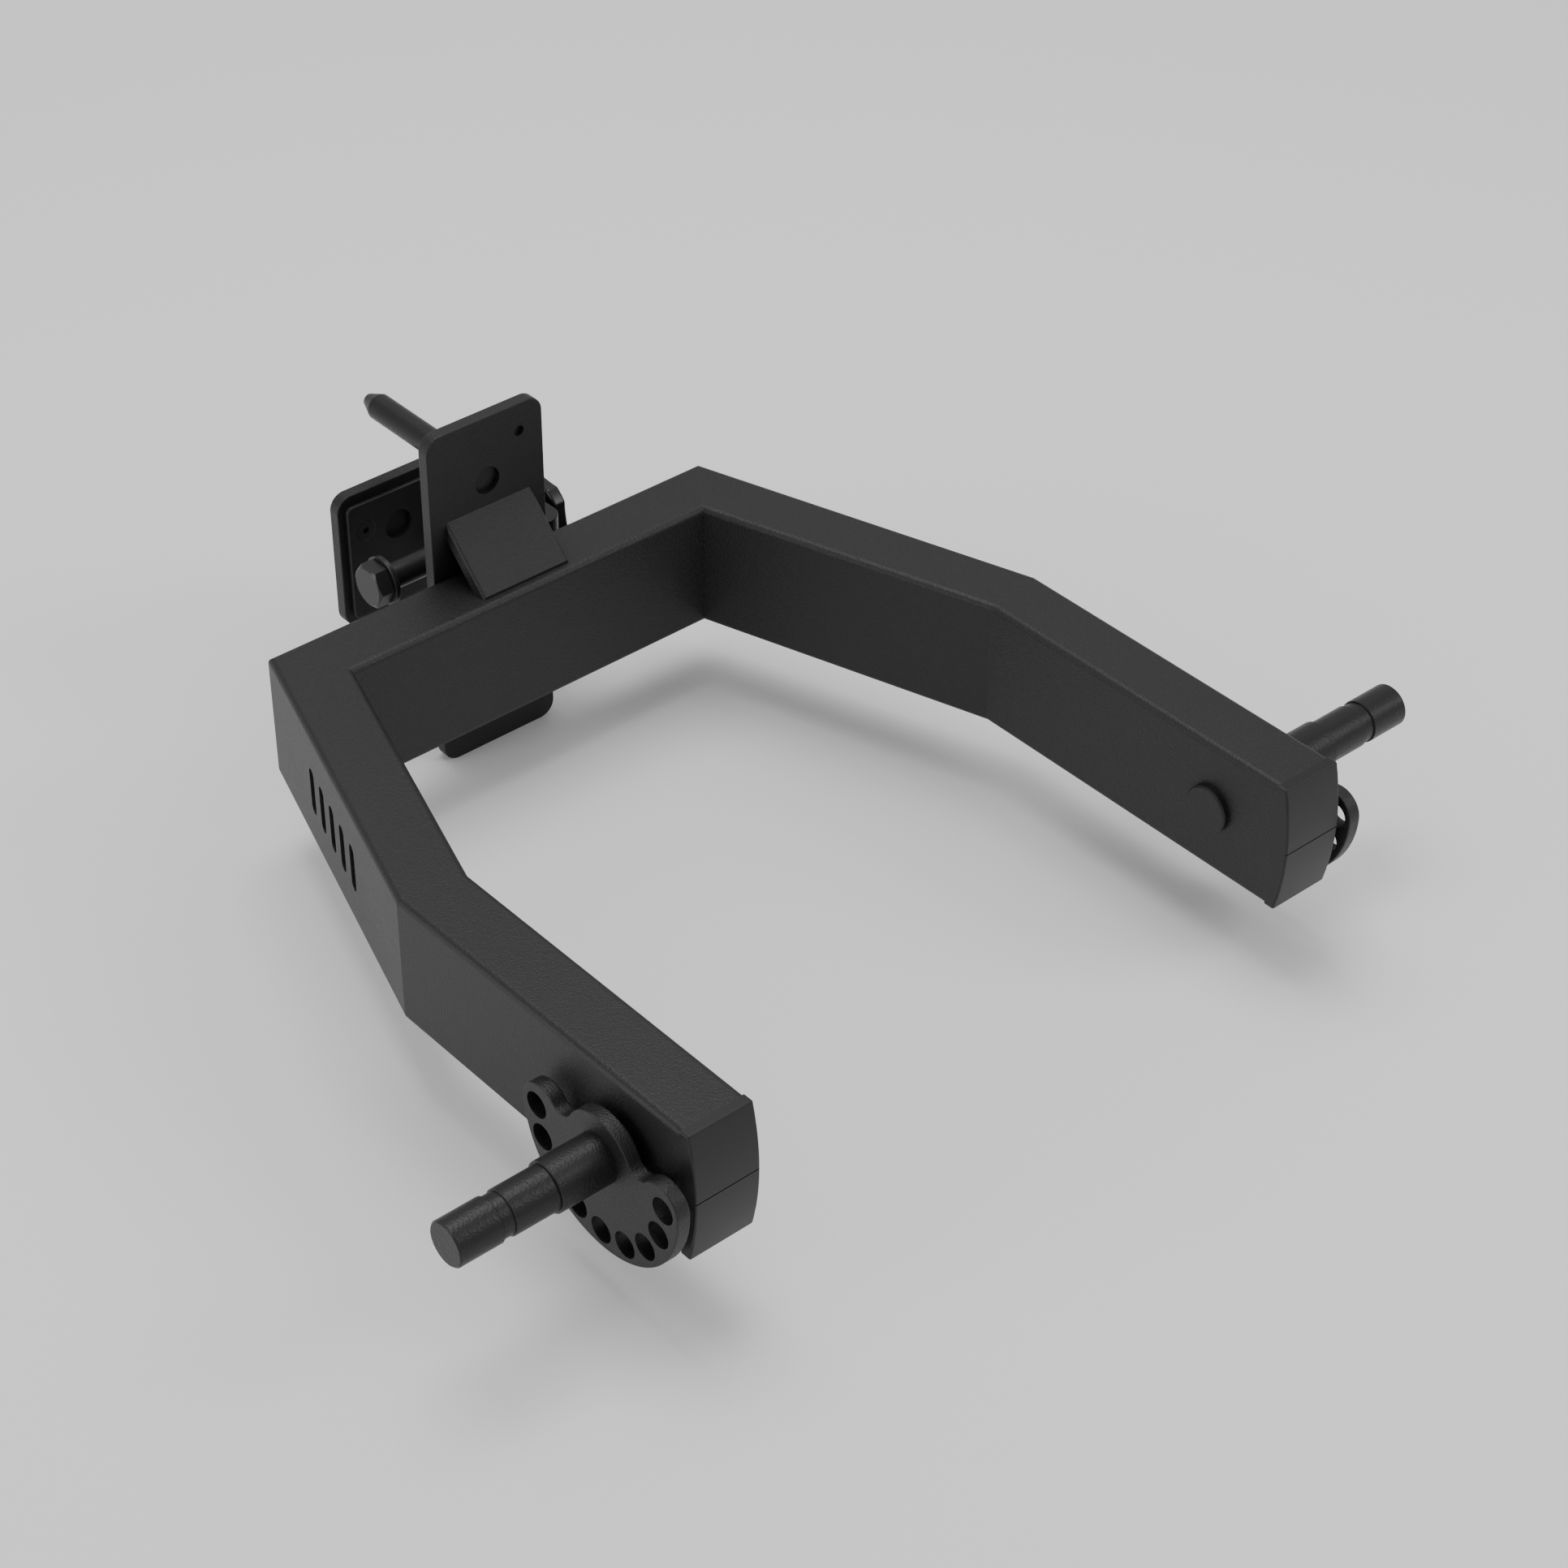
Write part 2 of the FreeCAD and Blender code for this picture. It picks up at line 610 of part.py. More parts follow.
def yoke_nodes():
    """The welded yoke, with what is screwed or pressed onto it."""
    outer, inner = corner_points()
    right_angle = mitred_tube(outer[1], outer[2], inner[1], inner[2])
    nodes = {
        "crossbar": crossbar(outer, inner),
        "right_angle_tube": right_angle,
        "left_angle_tube": mirrored(slotted(right_angle, outer[1], outer[2])),
        "mounting_plate": mounting_plate(),
        "brace_plate": brace_plate(),
        "locating_pin": locating_pin(),
        "front_liner": front_liner(),
        "front_liner_screws": screws(FRONT_SCREWS, PLATE_T + LINER_T, -1),
        "hinge_lug": hinge_lug(),
        "hinge_pin": hinge_pin(),
    }
    pairs = {
        "arm_tube": arm_tube(outer, inner),
        "end_cap": end_cap(),
        "peg_shaft": peg_shaft(),
        "index_plate": index_plate(),
    }
    for name, shape in pairs.items():
        nodes["right_" + name] = shape
        nodes["left_" + name] = mirrored(shape)
    return nodes


def clamp_nodes():
    """The hinged gate, the cross bolt and the knob."""
    return {
        "side_arm": side_arm(),
        "rear_plate": rear_plate(),
        "rear_liner": rear_liner(),
        "rear_liner_screws": screws(REAR_SCREWS, REAR_Y - LINER_T, 1),
        "cross_bolt": cross_bolt(),
        "bolt_washer": washer(HEAD_X + HEAD_T, BOLT_WASHER_T, BOLT_D),
        "thrust_washer": washer(SIDE_X + SIDE_T, THRUST_WASHER_T, WASHER_BORE_D),
        "knob_wheel": knob_wheel(),
        "knob_hub": knob_hub(),
    }


os.makedirs("parts", exist_ok=True)
for node, shape in {**yoke_nodes(), **clamp_nodes()}.items():
    placed = shape.copy()
    placed.translate(ORIGIN * -1)
    placed.exportStep(f"parts/{node}.step")
    box = placed.BoundBox
    low = f"{box.XMin:.1f} {box.YMin:.1f} {box.ZMin:.1f}"
    high = f"{box.XMax:.1f} {box.YMax:.1f} {box.ZMax:.1f}"
    print(node, len(placed.Solids), placed.isValid(), f"{placed.Volume / 1000:.1f} cm3", low, "to", high)
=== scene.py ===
# %% [markdown]
# # A rack pivot yoke in black powder coat
# The object is a horseshoe of steel tube that hangs on a rack's upright. Its shape comes from the
# CAD frame, so this lesson is about finishes: how to make six blacks that a viewer can tell apart,
# and how to add the small things that a CAD part leaves out, such as a screw thread and the welds.

# %% Load the frame
import math

import bmesh
import bpy
from mathutils import Matrix, Vector


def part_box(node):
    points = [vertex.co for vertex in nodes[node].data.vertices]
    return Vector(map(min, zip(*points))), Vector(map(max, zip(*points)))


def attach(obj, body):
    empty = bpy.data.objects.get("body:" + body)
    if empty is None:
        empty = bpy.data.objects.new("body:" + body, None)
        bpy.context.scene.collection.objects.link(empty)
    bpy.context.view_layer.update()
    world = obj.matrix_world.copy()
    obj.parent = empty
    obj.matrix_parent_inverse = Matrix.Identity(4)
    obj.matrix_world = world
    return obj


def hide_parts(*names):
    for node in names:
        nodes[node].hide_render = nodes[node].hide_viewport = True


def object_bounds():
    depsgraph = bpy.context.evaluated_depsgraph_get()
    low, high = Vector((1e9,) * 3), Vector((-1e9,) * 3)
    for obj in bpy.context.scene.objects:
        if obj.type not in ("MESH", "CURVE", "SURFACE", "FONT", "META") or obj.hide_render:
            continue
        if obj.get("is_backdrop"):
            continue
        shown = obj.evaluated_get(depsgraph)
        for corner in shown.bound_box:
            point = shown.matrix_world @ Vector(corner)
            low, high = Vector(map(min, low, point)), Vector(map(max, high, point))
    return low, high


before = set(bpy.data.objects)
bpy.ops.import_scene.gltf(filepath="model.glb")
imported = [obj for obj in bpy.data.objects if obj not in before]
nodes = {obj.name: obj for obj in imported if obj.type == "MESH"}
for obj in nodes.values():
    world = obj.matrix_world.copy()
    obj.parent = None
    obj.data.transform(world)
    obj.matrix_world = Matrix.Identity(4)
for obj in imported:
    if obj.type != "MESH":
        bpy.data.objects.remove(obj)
cad_low, cad_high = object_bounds()
MM = 0.001
print("CAD box, mm:", [round(v / MM, 1) for v in cad_high - cad_low], "with", len(nodes), "nodes")

# %% [markdown]
# ## The camera
# A long lens far away keeps the arms nearly parallel, and a shorter one would make the near peg
# look too large. The camera is set by the direction it looks from, so each number has a meaning:
# how far round the object, how high, and how much the horizon tilts. The roll is about the view
# axis.

# %% Place the camera
CAMERA_AZIMUTH = math.radians(-41.0963)
CAMERA_ELEVATION = math.radians(37.4763)
CAMERA_ROLL = math.radians(0.40556)
CAMERA_PLACE = Vector((-0.98459, -1.39436, 1.08267))
CAMERA_LENS_MM = 82.02
CAMERA_SENSOR_MM = 36.0
CAMERA_NEAR = 0.05
CAMERA_FAR = 40.0


def make_camera():
    data = bpy.data.cameras.new("studio_camera")
    data.lens = CAMERA_LENS_MM
    data.sensor_width = CAMERA_SENSOR_MM
    data.clip_start = CAMERA_NEAR
    data.clip_end = CAMERA_FAR
    camera = bpy.data.objects.new("studio_camera", data)
    bpy.context.scene.collection.objects.link(camera)
    turn = Matrix.Rotation(CAMERA_AZIMUTH, 4, "Z")
    tilt = Matrix.Rotation(math.pi / 2 - CAMERA_ELEVATION, 4, "X")
    roll = Matrix.Rotation(CAMERA_ROLL, 4, "Z")
    camera.matrix_world = Matrix.Translation(CAMERA_PLACE) @ turn @ tilt @ roll
    return camera


bpy.context.scene.camera = make_camera()
print("camera at", [round(v, 3) for v in CAMERA_PLACE], "m")

# %% [markdown]
# ## The studio
# Black parts are lit by what they reflect more than by the light that falls on them. A room as
# bright as the floor turns them grey, so the room is a dim one, and the lights do the work: a broad
# one overhead for the top faces, a low one at the left that draws the outer face of the left tube,
# and a small one in front for the sloping brace. The floor is a plain pale sheet.

# %% Floor, room and lights
FLOOR_SIZE = 14.0
FLOOR_COLOR = (0.8, 0.8, 0.8, 1.0)
FLOOR_ROUGHNESS = 0.9
ROOM_COLOR = (1.0, 1.0, 1.0, 1.0)
ROOM_STRENGTH = 0.62
OBJECT_MIDDLE = (cad_low + cad_high) / 2


def make_floor():
    mesh = bpy.data.meshes.new("studio_floor")
    half = FLOOR_SIZE / 2
    corners = [(-half, -half, 0), (half, -half, 0), (half, half, 0), (-half, half, 0)]
    mesh.from_pydata(corners, [], [(0, 1, 2, 3)])
    floor = bpy.data.objects.new("studio_floor", mesh)
    floor.location = (OBJECT_MIDDLE.x, OBJECT_MIDDLE.y, cad_low.z)
    bpy.context.scene.collection.objects.link(floor)
    material = bpy.data.materials.new("floor_paper")
    material.use_nodes = True
    shader = material.node_tree.nodes["Principled BSDF"]
    shader.inputs["Base Color"].default_value = FLOOR_COLOR
    shader.inputs["Roughness"].default_value = FLOOR_ROUGHNESS
    mesh.materials.append(material)
    floor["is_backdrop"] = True


def make_room():
    world = bpy.data.worlds.new("light_tent")
    bpy.context.scene.world = world
    world.use_nodes = True
    background = world.node_tree.nodes["Background"]
    background.inputs["Color"].default_value = ROOM_COLOR
    background.inputs["Strength"].default_value = ROOM_STRENGTH


def soft_light(name, place, size, watts):
    """A square area light at a place, turned to face the object's middle."""
    data = bpy.data.lights.new(name, "AREA")
    data.size = size
    data.energy = watts
    light = bpy.data.objects.new(name, data)
    light.location = place
    toward = OBJECT_MIDDLE - Vector(place)
    light.rotation_euler = toward.to_track_quat("-Z", "Y").to_euler()
    bpy.context.scene.collection.objects.link(light)


make_floor()
make_room()
soft_light("overhead_light", (0.2, 0.3, 2.6), 1.6, 48.0)
soft_light("left_light", (-2.6, 0.4, 0.5), 1.4, 24.0)
soft_light("front_light", (1.2, -1.7, 1.3), 0.8, 13.0)
print("floor at z =", round(cad_low.z / MM, 1), "mm")

# %% [markdown]
# ## Helpers for node trees
# A node group is an effect that several materials share. It has named inputs, so each material
# gives its own values. In this Blender its sockets are made on the group's interface, and its nodes
# are then wired like any others. A few small helpers make that short.

# %% Group helpers


def new_group(name, inputs, outputs):
    """A shader group with float sockets only: inputs as {name: default}, outputs as [name, ...]."""
    group = bpy.data.node_groups.new(name, "ShaderNodeTree")
    for label, default in inputs.items():
        socket = group.interface.new_socket(label, in_out="INPUT", socket_type="NodeSocketFloat")
        socket.default_value = default
    for label in outputs:
        group.interface.new_socket(label, in_out="OUTPUT", socket_type="NodeSocketFloat")
    source = group.nodes.new("NodeGroupInput")
    sink = group.nodes.new("NodeGroupOutput")
    return group, source, sink


def add_node(tree, kind, **values):
    """A node of a kind, with its properties set by name."""
    node = tree.nodes.new(kind)
    for key, value in values.items():
        setattr(node, key, value)
    return node


def maths(tree, operation, first, second):
    """A Math node on two things, each a socket to link or a plain number."""
    node = add_node(tree, "ShaderNodeMath", operation=operation)
    for index, value in enumerate((first, second)):
        if isinstance(value, (int, float)):
            node.inputs[index].default_value = value
        else:
            tree.links.new(value, node.inputs[index])
    return node.outputs[0]


def blended(tree, factor, low, high):
    """low where factor is 0, high where it is 1, for sockets and plain numbers alike."""
    node = add_node(tree, "ShaderNodeMapRange", clamp=True)
    tree.links.new(factor, node.inputs["Value"])
    for label, value in (("To Min", low), ("To Max", high)):
        if isinstance(value, (int, float)):
            node.inputs[label].default_value = value
        else:
            tree.links.new(value, node.inputs[label])
    return node.outputs["Result"]


print("helpers ready")

# %% [markdown]
# ## The grain of a coating
# Fine-textured powder coat is a skin of melted beads. Close up it has pits and humps about a
# millimetre across, over a much longer gentle wave. Two noises at those two sizes make the height,
# and the humps are a touch smoother than the pits, so the same noise also moves the roughness. It
# reads object coordinates in metres, so the grain has its real size on every part.

# %% Group: coating grain
GRAIN_DETAIL = 2.0
GRAIN_ROUGHNESS = 0.55
PATCH_SCALE = 14.0
PATCH_DETAIL = 3.0


def make_grain_group():
    group, source, sink = new_group(
        "coating_grain",
        {"Grain Size mm": 0.8, "Wave Size mm": 9.0, "Wave Share": 0.25},
        ["Height", "Humps", "Patches"],
    )
    place = add_node(group, "ShaderNodeTexCoord").outputs["Object"]
    found = {}
    for label in ("Grain Size mm", "Wave Size mm"):
        noise = add_node(group, "ShaderNodeTexNoise")
        noise.inputs["Detail"].default_value = GRAIN_DETAIL
        noise.inputs["Roughness"].default_value = GRAIN_ROUGHNESS
        group.links.new(place, noise.inputs["Vector"])
        scale = maths(group, "DIVIDE", 1 / MM, source.outputs[label])
        group.links.new(scale, noise.inputs["Scale"])
        found[label] = noise.outputs["Fac"]
    patches = add_node(group, "ShaderNodeTexNoise")
    patches.inputs["Scale"].default_value = PATCH_SCALE
    patches.inputs["Detail"].default_value = PATCH_DETAIL
    group.links.new(place, patches.inputs["Vector"])
    grain, wave = found["Grain Size mm"], found["Wave Size mm"]
    long_part = maths(group, "MULTIPLY", wave, source.outputs["Wave Share"])
    group.links.new(maths(group, "ADD", grain, long_part), sink.inputs["Height"])
    group.links.new(blended(group, grain, 0.0, 1.0), sink.inputs["Humps"])
    group.links.new(patches.outputs["Fac"], sink.inputs["Patches"])
    return group


coating_grain = make_grain_group()
print("group", coating_grain.name, "has", len(coating_grain.nodes), "nodes")

# %% [markdown]
# ## Lighter edges: painted highlight and thin coat
# Edges get a lighter colour. Partly this is a painted highlight, standing in for the sheen that a
# rounded edge catches, and partly the real thin coat where powder pulls back from a sharp edge as
# it melts. The Bevel node gives the normal that a rounded edge would have. Where it differs from
# the true normal there is an edge, and a noise breaks that line up so it isn't an even outline.

# %% Group: painted edge highlight and thin coat
EDGE_GAIN = 5.0
BREAK_SCALE = 160.0
BREAK_DETAIL = 4.0


# The Edge output marks where the lighter colour goes: a painted highlight of rounded edges, partly
# their thin coat.
def make_edge_highlight_and_thin_coat_group():
    group, source, sink = new_group(
        "edge_highlight_and_thin_coat", {"Width mm": 1.0, "Break Up": 0.5}, ["Edge"]
    )
    radius = maths(group, "MULTIPLY", source.outputs["Width mm"], MM)
    bevel = add_node(group, "ShaderNodeBevel", samples=4)
    group.links.new(radius, bevel.inputs["Radius"])
    geometry = add_node(group, "ShaderNodeNewGeometry")
    same = add_node(group, "ShaderNodeVectorMath", operation="DOT_PRODUCT")
    group.links.new(bevel.outputs["Normal"], same.inputs[0])
    group.links.new(geometry.outputs["Normal"], same.inputs[1])
    bend = maths(group, "SUBTRACT", 1.0, same.outputs["Value"])
    sharp = maths(group, "MULTIPLY", bend, EDGE_GAIN)
    place = add_node(group, "ShaderNodeTexCoord").outputs["Object"]
    noise = add_node(group, "ShaderNodeTexNoise")
    noise.inputs["Scale"].default_value = BREAK_SCALE
    noise.inputs["Detail"].default_value = BREAK_DETAIL
    group.links.new(place, noise.inputs["Vector"])
    gaps = maths(group, "MULTIPLY", noise.outputs["Fac"], source.outputs["Break Up"])
    limited = add_node(group, "ShaderNodeClamp")
    group.links.new(maths(group, "SUBTRACT", sharp, gaps), limited.inputs["Value"])
    group.links.new(limited.outputs["Result"], sink.inputs["Edge"])
    return group


edge_highlight_and_thin_coat = make_edge_highlight_and_thin_coat_group()
print("group", edge_highlight_and_thin_coat.name, "has", len(edge_highlight_and_thin_coat.nodes), "nodes")

# %% [markdown]
# ## One recipe for six blacks
# The six finishes differ in a few numbers: how dark, how rough, how large the grain is, and how
# deep. A recipe takes those and wires the two groups to the shader, and each finish below is one
# call of it. Constants such as the specular level are set on the shader itself, where an exporter
# can read them.

# %% The recipe
WAVE_PER_GRAIN = 11
TINT_DARK = 0.82
TINT_PALE = 1.18


def make_finish(name, color, edge_highlight_and_thin_coat_color, roughness, spread, grain_mm, depth_mm, metal=0.0,
                specular=0.5, edge_mm=1.0, wave_share=0.25):
    """A dark finish. spread is how far the roughness strays, depth_mm the grain's height. The edge
    colour is a lighter painted highlight on edges, partly their thin coat.
    """
    material = bpy.data.materials.new(name)
    material.use_nodes = True
    tree = material.node_tree
    shader = tree.nodes["Principled BSDF"]
    shader.inputs["Metallic"].default_value = metal
    shader.inputs["Specular IOR Level"].default_value = specular

    grain = add_node(tree, "ShaderNodeGroup", node_tree=coating_grain)
    grain.inputs["Grain Size mm"].default_value = grain_mm
    grain.inputs["Wave Size mm"].default_value = grain_mm * WAVE_PER_GRAIN
    grain.inputs["Wave Share"].default_value = wave_share
    edges = add_node(tree, "ShaderNodeGroup", node_tree=edge_highlight_and_thin_coat)
    edges.inputs["Width mm"].default_value = edge_mm

    tint = add_node(tree, "ShaderNodeMix", data_type="RGBA")
    tint.inputs["A"].default_value = (*[c * TINT_DARK for c in color], 1.0)
    tint.inputs["B"].default_value = (*[c * TINT_PALE for c in color], 1.0)
    tree.links.new(grain.outputs["Patches"], tint.inputs["Factor"])
    # Edges take the lighter colour: a painted highlight of rounded edges, partly their thin coat.
    edge_highlight_and_thin_coat_mix = add_node(tree, "ShaderNodeMix", data_type="RGBA")
    edge_highlight_and_thin_coat_mix.inputs["B"].default_value = (*edge_highlight_and_thin_coat_color, 1.0)
    tree.links.new(edges.outputs["Edge"], edge_highlight_and_thin_coat_mix.inputs["Factor"])
    tree.links.new(tint.outputs["Result"], edge_highlight_and_thin_coat_mix.inputs["A"])
    tree.links.new(edge_highlight_and_thin_coat_mix.outputs["Result"], shader.inputs["Base Color"])

    rough = blended(tree, grain.outputs["Humps"], roughness + spread, roughness - spread)
    uneven = maths(tree, "SUBTRACT", grain.outputs["Patches"], 0.5)
    patchy = maths(tree, "MULTIPLY", uneven, spread)
    tree.links.new(maths(tree, "ADD", rough, patchy), shader.inputs["Roughness"])

    bump = add_node(tree, "ShaderNodeBump")
    bump.inputs["Strength"].default_value = 1.0
    bump.inputs["Distance"].default_value = depth_mm * MM
    tree.links.new(grain.outputs["Height"], bump.inputs["Height"])
    tree.links.new(bump.outputs["Normal"], shader.inputs["Normal"])
    return material


print("recipe ready")

# %% The six finishes
# Each edge colour is lighter than its finish: a painted highlight of rounded edges, partly their
# thin coat.
powder_coat = make_finish(
    "powder_coat_fine", color=(0.009, 0.009, 0.0093), edge_highlight_and_thin_coat_color=(0.014, 0.014, 0.0145),
    roughness=0.46, spread=0.06, grain_mm=1.1, depth_mm=0.35, specular=0.36)
bar_coat = make_finish(
    "powder_coat_on_round_bar", color=(0.008, 0.008, 0.0083), edge_highlight_and_thin_coat_color=(0.012, 0.012, 0.0125),
    roughness=0.4, spread=0.06, grain_mm=1.5, depth_mm=0.25, specular=0.33, wave_share=0.1)
cap_plastic = make_finish(
    "moulded_cap_plastic", color=(0.0085, 0.0085, 0.0088), edge_highlight_and_thin_coat_color=(0.012, 0.012, 0.0125),
    roughness=0.42, spread=0.04, grain_mm=0.6, depth_mm=0.04, specular=0.34)
liner_plastic = make_finish(
    "liner_sheet_plastic", color=(0.013, 0.013, 0.0135), edge_highlight_and_thin_coat_color=(0.02, 0.02, 0.021),
    roughness=0.5, spread=0.05, grain_mm=0.7, depth_mm=0.05, specular=0.36)
knob_plastic = make_finish(
    "knob_moulding_plastic", color=(0.009, 0.009, 0.0093), edge_highlight_and_thin_coat_color=(0.014, 0.014, 0.0145),
    roughness=0.32, spread=0.05, grain_mm=0.8, depth_mm=0.04, specular=0.38)
black_steel = make_finish(
    "blacked_bolt_steel", color=(0.032, 0.032, 0.033), edge_highlight_and_thin_coat_color=(0.06, 0.06, 0.062),
    roughness=0.34, spread=0.05, grain_mm=0.4, depth_mm=0.01, metal=0.5, specular=0.4, edge_mm=0.5)
print("finishes:", [m.name for m in bpy.data.materials])

# %% [markdown]
# ## Which part has which finish
# A CAD part keeps its shape and gets its finish through its material slots. Listing the exceptions
# is shorter and clearer than listing everything, because much of this object is powder coated.

# %% Dress the CAD parts
FINISH_OF_NODE = {
    "left_end_cap": cap_plastic,
    "right_end_cap": cap_plastic,
    "front_liner": liner_plastic,
    "rear_liner": liner_plastic,
    "knob_wheel": knob_plastic,
    "left_peg_shaft": bar_coat,
    "right_peg_shaft": bar_coat,
    "locating_pin": bar_coat,
    "side_arm": bar_coat,
}
for name in ("front_liner_screws", "rear_liner_screws", "bolt_washer", "thrust_washer", "knob_hub",
             "hinge_pin", "cross_bolt"):
    FINISH_OF_NODE[name] = black_steel

for name, obj in nodes.items():
    obj.data.materials.clear()
    obj.data.materials.append(FINISH_OF_NODE.get(name, powder_coat))
print("coated parts:", len(nodes) - len(FINISH_OF_NODE))

# %% [markdown]
# ## Skinning a row of outlines
# The bolt and the weld beads are made the same way: a row of closed outlines, each with as many
# points as the last, joined by a skin of four-sided faces and closed at both ends.

# %% The skin


def make_skin(name, outlines, material, sharp_degrees):
    """An object that joins closed outlines of points in turn, with flat ends."""
    mesh_maker = bmesh.new()
    loops = [[mesh_maker.verts.new(point) for point in outline] for outline in outlines]
    count = len(loops[0])
    for first, second in zip(loops, loops[1:]):
        for k in range(count):
            following = (k + 1) % count
            mesh_maker.faces.new((first[k], first[following], second[following], second[k]))
    mesh_maker.faces.new(loops[0][::-1])
    mesh_maker.faces.new(loops[-1])
    bmesh.ops.recalc_face_normals(mesh_maker, faces=mesh_maker.faces)
    mesh = bpy.data.meshes.new(name)
    mesh_maker.to_mesh(mesh)
    mesh_maker.free()
    mesh.materials.append(material)
    mesh.shade_smooth()
    mesh.set_sharp_from_angle(angle=math.radians(sharp_degrees))
    skin = bpy.data.objects.new(name, mesh)
    bpy.context.scene.collection.objects.link(skin)
    return skin


print("skin ready")

# %% [markdown]
# ## The cross bolt, with a real thread
# The CAD bolt is a plain rod. The real one is threaded at its far end, where the knob screws on. A
# thread could be a bump, but its outline shows at the tip, so it is geometry: rings of points down
# the rod, each point pulled in by how far it is from the helix. The head is a hexagon whose corners
# are turned off, which is a hexagon cut by a cone at every point round it.

# %% Measure the bolt
bolt_low, bolt_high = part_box("cross_bolt")
BOLT_AXIS = Vector((0, (bolt_low.y + bolt_high.y) / 2, (bolt_low.z + bolt_high.z) / 2))
HEAD_FLATS = bolt_high.z - bolt_low.z
HEAD_LENGTH = 9.4 * MM
HEAD_CHAMFER_R = HEAD_FLATS / 2 - 0.6 * MM
HEAD_BEVEL_SLOPE = 0.6
HEAD_BEVEL_STEPS = 4
RELIEF_R = 11.0 * MM
RELIEF_LENGTH = 0.6 * MM
SHANK_R = 8.0 * MM
THREAD_PITCH = 2.0 * MM
THREAD_DEPTH = 1.2 * MM
THREAD_LENGTH = 44.0 * MM
TIP_CHAMFER = 1.4 * MM
GROOVE_STEEPNESS = 1.15
RINGS_PER_PITCH = 10
ROUND_STEPS = 96
BOLT_SHARP_DEGREES = 20
print("head", round(HEAD_FLATS / MM, 1), "mm across flats")
print("bolt", round((bolt_high.x - bolt_low.x) / MM), "mm long")

# %% Build the bolt


def hexagon_radius(angle):
    """Distance from the middle to the hexagon's outline at an angle from one of its corners."""
    within = (angle + math.pi / 6) % (math.pi / 3) - math.pi / 6
    return HEAD_FLATS / 2 / math.cos(math.pi / 6 - abs(within))


def turn_of(step):
    return 2 * math.pi * step / ROUND_STEPS


def head_ring(x, limit):
    return [(x, min(hexagon_radius(turn_of(k)), limit)) for k in range(ROUND_STEPS)]


def thread_radius(x, angle):
    """The rod's radius at a place along it: 60 degree grooves that follow a helix, fading out."""
    turn = (x / THREAD_PITCH - angle / (2 * math.pi)) % 1.0
    groove = THREAD_DEPTH * max(0.0, 1 - abs(2 * turn - 1) * GROOVE_STEEPNESS)
    start = bolt_high.x - THREAD_LENGTH
    fade = min(1.0, max(0.0, (x - start) / (2 * THREAD_PITCH)))
    chamfer = max(0.0, x - (bolt_high.x - TIP_CHAMFER))
    return min(SHANK_R - groove * fade, SHANK_R - chamfer)


def bolt_rings():
    """Rings of (x, radius) round the bolt, from the head's face to the tip."""
    x0 = bolt_low.x
    corner_r = HEAD_FLATS / math.sqrt(3)
    widening = corner_r - HEAD_CHAMFER_R
    bevel = widening * HEAD_BEVEL_SLOPE
    rings = []
    for step in range(HEAD_BEVEL_STEPS + 1):
        part = step / HEAD_BEVEL_STEPS
        rings.append(head_ring(x0 + bevel * part, HEAD_CHAMFER_R + widening * part))
    under = x0 + HEAD_LENGTH
    shank_start = under + RELIEF_LENGTH
    rings.append(head_ring(under, corner_r))
    for x, radius in ((under, RELIEF_R), (shank_start, RELIEF_R), (shank_start, SHANK_R)):
        rings.append([(x, radius)] * ROUND_STEPS)
    start = bolt_high.x - THREAD_LENGTH
    rings.append([(start, SHANK_R)] * ROUND_STEPS)
    count = int(THREAD_LENGTH / (THREAD_PITCH / RINGS_PER_PITCH))
    for k in range(1, count + 1):
        x = start + THREAD_LENGTH * k / count
        rings.append([(x, thread_radius(x, turn_of(j))) for j in range(ROUND_STEPS)])
    return rings


def around_axis(ring):
    """The points in space of one ring of (x, radius)."""
    points = []
    for k, (x, radius) in enumerate(ring):
        y = BOLT_AXIS.y + radius * math.cos(turn_of(k))
        z = BOLT_AXIS.z + radius * math.sin(turn_of(k))
        points.append((x, y, z))
    return points


bolt_outlines = [around_axis(ring) for ring in bolt_rings()]
threaded_bolt = make_skin("threaded_cross_bolt", bolt_outlines, black_steel, BOLT_SHARP_DEGREES)
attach(threaded_bolt, "bolt")
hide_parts("cross_bolt")
print("bolt has", len(threaded_bolt.data.polygons), "faces")
print("thread has", round(THREAD_LENGTH / THREAD_PITCH), "turns")

# %% [markdown]
# ## Welds
# The yoke is welded where the beads don't show from the front. A bead is a row of overlapping
# puddles, each frozen a moment after the last. That gives its ripple: along the seam, the bead's
# radius rises and falls once a puddle. The section is a fan of points between the two faces that it
# joins. The gate's bead is small, so that it stays behind the face that bears on the upright.

# %% Build weld beads
PLATE_LEG = 3.6 * MM
GATE_LEG = 2.4 * MM
BEAD_RIPPLE = 0.3 * MM
PUDDLE_LENGTH = 2.6 * MM
BEAD_FAN = 8
ROWS_PER_PUDDLE = 6
BEAD_END_SHARE = 0.35
BEAD_HOLLOW = 0.22
BEAD_SHARP_DEGREES = 50


def bead_outline(corner, along, side_a, side_b, leg, lag):
    """The corner of the joint, then a fan of points from one face to the other."""
    points = [corner]
    for k in range(BEAD_FAN + 1):
        angle = math.pi / 2 * k / BEAD_FAN
        bulge = 1 - BEAD_HOLLOW + BEAD_HOLLOW * abs(math.cos(2 * angle))
        reach = (side_a * math.cos(angle) + side_b * math.sin(angle)) * (leg * bulge)
        points.append(corner + reach + along * (lag * math.sin(2 * angle)))
    return points


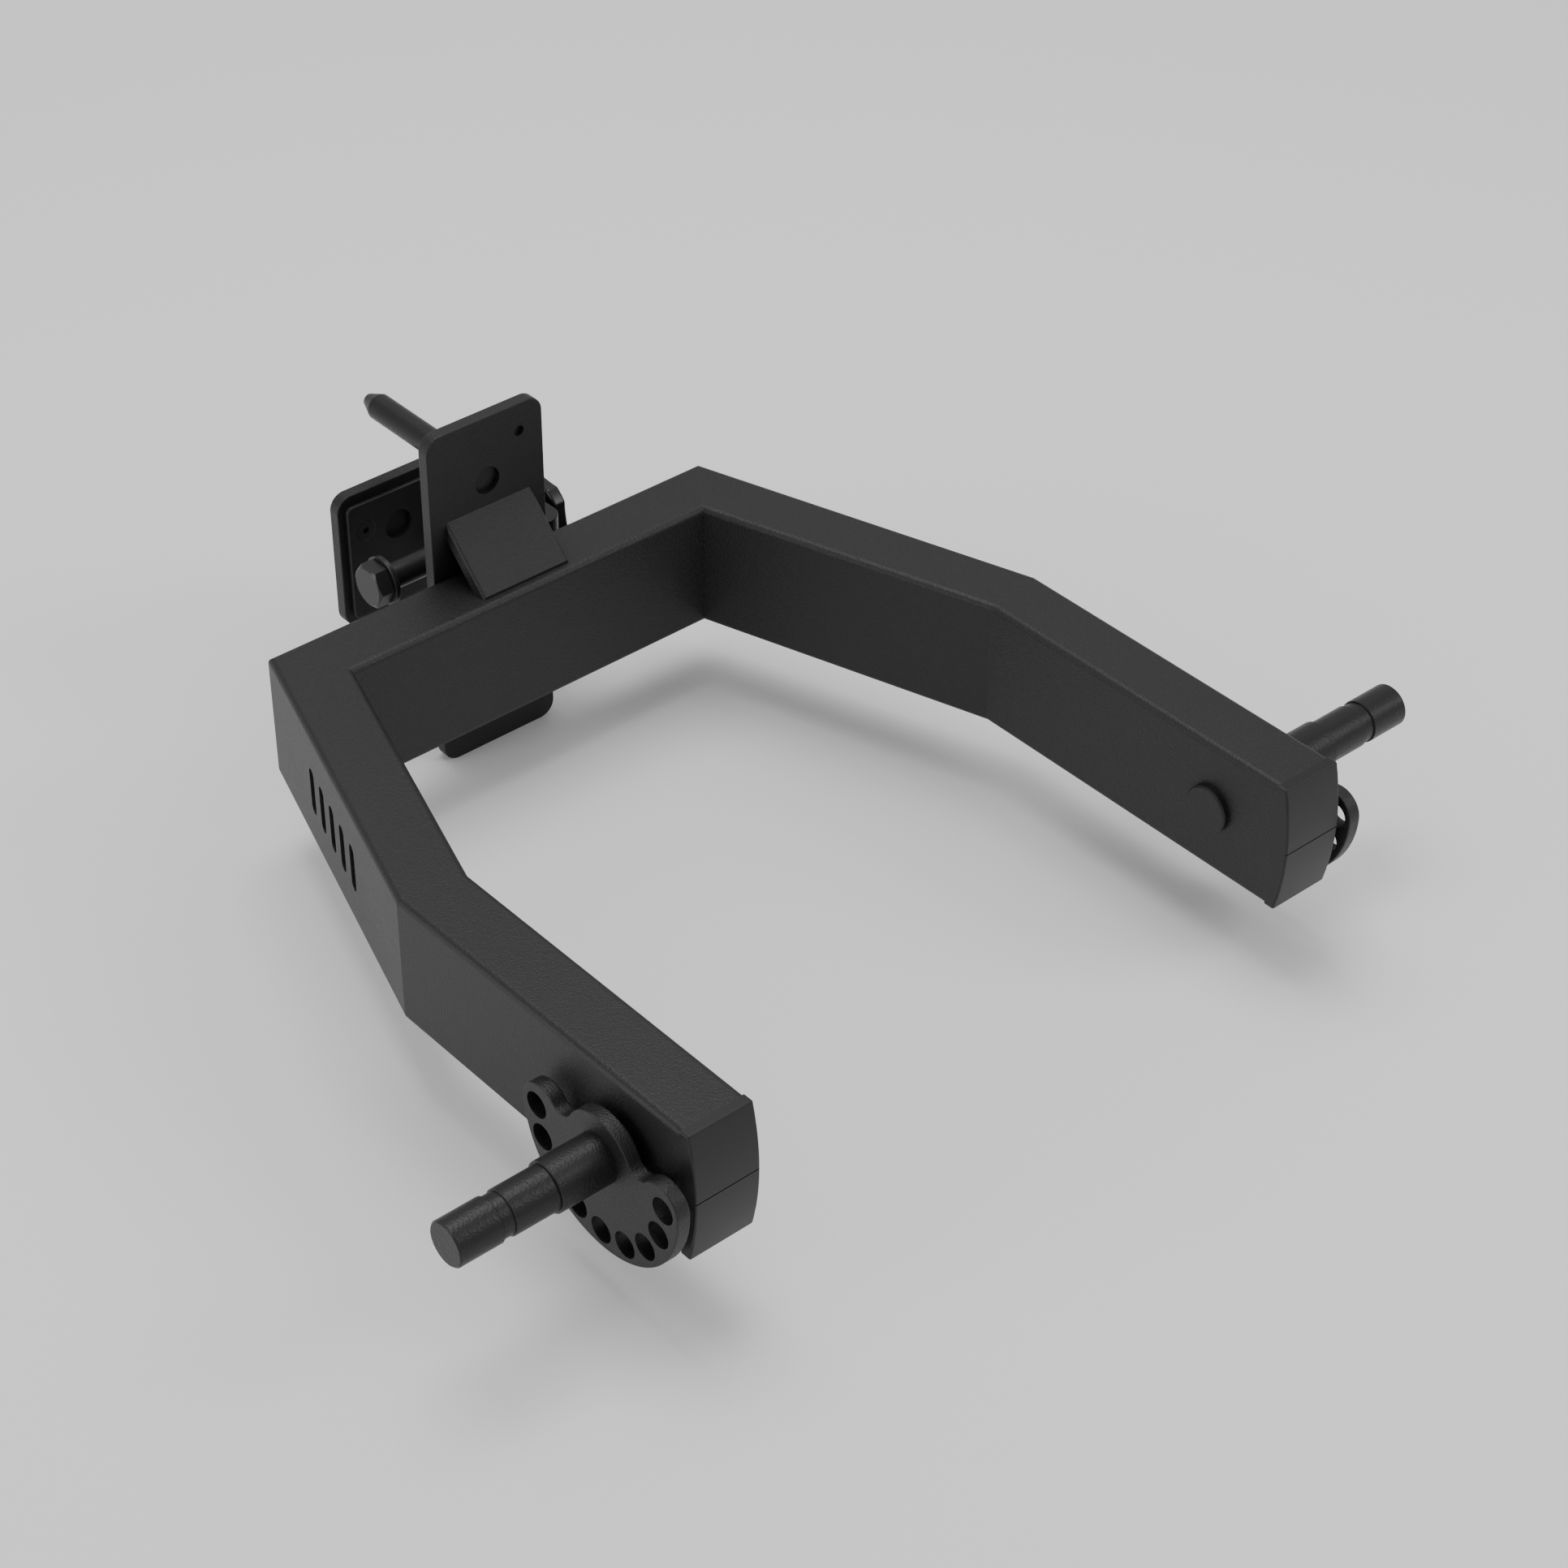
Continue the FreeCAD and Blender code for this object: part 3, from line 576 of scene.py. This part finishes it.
def make_bead(name, body, start, end, side_a, side_b, full_leg=PLATE_LEG):
    """A fillet weld in the corner between two faces that run off along side_a and side_b."""
    start, end, side_a, side_b = Vector(start), Vector(end), Vector(side_a), Vector(side_b)
    seam = end - start
    length = seam.length
    along = seam.normalized()
    rows = max(2, int(length / (PUDDLE_LENGTH / ROWS_PER_PUDDLE)))
    outlines = []
    for row in range(rows + 1):
        distance = length * row / rows
        puddle = (distance / PUDDLE_LENGTH) % 1.0
        nearest_end = min(distance, length - distance)
        taper = min(1.0, BEAD_END_SHARE + nearest_end / full_leg)
        leg = (full_leg + BEAD_RIPPLE * math.sin(math.pi * puddle)) * taper
        corner = start + seam * (row / rows)
        outlines.append(bead_outline(corner, along, side_a, side_b, leg, 2 * BEAD_RIPPLE * taper))
    bead = make_skin(name, outlines, powder_coat, BEAD_SHARP_DEGREES)
    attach(bead, body)
    return bead


print("bead maker ready")

# %% Weld the plate, the gate and the lug
plate_low, plate_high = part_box("mounting_plate")
bar_low, bar_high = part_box("crossbar")
arm_low, arm_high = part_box("side_arm")
rear_low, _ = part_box("rear_plate")
lug_low, lug_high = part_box("hinge_lug")
SEAM_INSET = 8 * MM
LUG_CLEAR = 5 * MM
seam_low, seam_high = bar_low.z + SEAM_INSET, bar_high.z - SEAM_INSET

plate_seams = {
    "plate_weld_left": (plate_low.x, seam_low, seam_high, -1),
    "plate_weld_right_low": (plate_high.x, seam_low, lug_low.z - LUG_CLEAR, 1),
    "plate_weld_right_high": (plate_high.x, lug_high.z + LUG_CLEAR, seam_high, 1),
}
beads = []
for name, (x, low, high, way) in plate_seams.items():
    start, end = (x, plate_low.y, low), (x, plate_low.y, high)
    beads.append(make_bead(name, "yoke", start, end, (way, 0, 0), (0, 1, 0)))
beads.append(make_bead(
    "gate_weld", "gate", (arm_low.x, rear_low.y, arm_low.z + SEAM_INSET / 2),
    (arm_low.x, rear_low.y, arm_high.z - SEAM_INSET / 2), (-1, 0, 0), (0, -1, 0), GATE_LEG))
for name, z, upward in (("lug_weld_top", lug_high.z, 1), ("lug_weld_bottom", lug_low.z, -1)):
    start, end = (lug_low.x, bar_high.y, z), (lug_high.x, bar_high.y, z)
    beads.append(make_bead(name, "yoke", start, end, (0, 1, 0), (0, 0, upward)))
print("weld beads:", [b.name for b in beads])

# %% [markdown]
# ## Compare both boxes
# The finished model's box is measured, and how much it is larger than the CAD box is printed.
# The looks must not change the object's size.

# %% Compare the sizes
shown_low, shown_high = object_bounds()
grown = [round((b - a) / MM, 2) for a, b in zip(cad_high - cad_low, shown_high - shown_low)]
print("visual model is larger than the CAD box by, mm:", grown)
